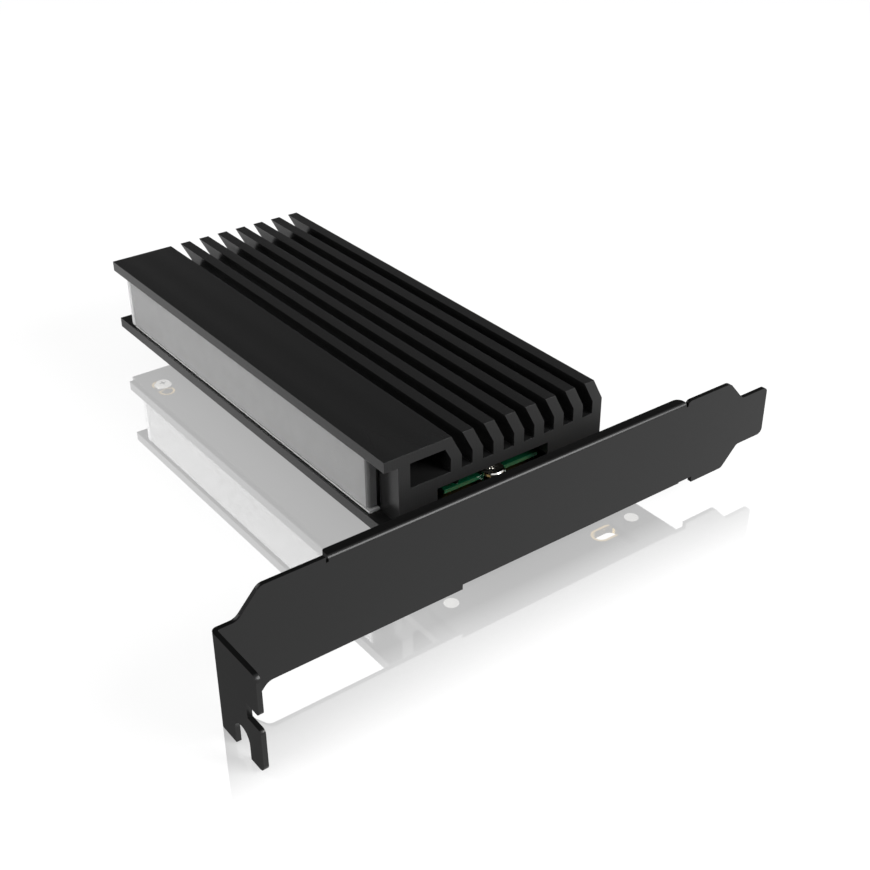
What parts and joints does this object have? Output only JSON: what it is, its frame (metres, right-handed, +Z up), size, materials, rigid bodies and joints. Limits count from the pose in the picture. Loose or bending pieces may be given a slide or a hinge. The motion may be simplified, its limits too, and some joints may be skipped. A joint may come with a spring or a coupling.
{
  "type": "nvme adapter card",
  "caption": "Expansion card that carries a solid state drive under a finned black heat sink with a light strip, on a full-height steel bracket.",
  "frame": {"origin": "centre of the bounding box in X and Y, at the lowest plane, which is the bottom edge of the bracket's bent tab", "axes": "+X along the bracket from its bent tab to its tongue, towards the card edge; +Y from the bracket towards the card's far end; +Z up, from the board to the fins"},
  "size_m": [0.12, 0.1342, 0.023],
  "materials": {
    "black_steel": "satin black coating",
    "nickel": "bright nickel plating",
    "board_black": "black solder mask on glass epoxy",
    "gold": "gold plating",
    "dull_gold": "gold plating, dull",
    "socket_black": "moulded, matt",
    "silver_contact": "tin plating",
    "led_base": "moulded",
    "led_white": "clear moulded top",
    "package_black": "moulded, fine matt",
    "tan_ceramic": "fired ceramic",
    "chip_grey": "fired ceramic",
    "pad_grey": "soft matt silicone",
    "board_green": "green solder mask on glass epoxy",
    "black_anodised": "black anodised",
    "frosted_acrylic": "frosted, light passes through"
  },
  "bodies": {
    "root": {"bracket": "black_steel", "bracket_screws": "nickel", "adapter_board": "board_black", "slot_plating": "gold", "edge_fingers_top": "gold", "edge_fingers_under": "gold", "heat_strip": "dull_gold", "drive_socket": "socket_black", "socket_contacts_lower": "silver_contact", "socket_contacts_upper": "silver_contact", "socket_anchors": "silver_contact", "led_bases": "led_base", "leds": "led_white", "resistor_array": "package_black", "resistor_array_ends": "silver_contact", "board_capacitors": "tan_ceramic", "drive_standoff": "nickel", "drive_screw": "nickel", "lower_thermal_pad": "pad_grey", "upper_thermal_pad": "pad_grey", "drive_board": "board_green", "drive_fingers": "gold", "drive_memory": "package_black", "drive_controller": "package_black", "drive_cache": "package_black", "drive_chip_parts": "chip_grey", "drive_tan_capacitors": "tan_ceramic", "drive_coil": "package_black", "drive_solder_pads": "silver_contact", "heat_sink": "black_anodised", "light_bar": "frosted_acrylic", "heat_sink_screws": "nickel"}
  },
  "joints": []
}
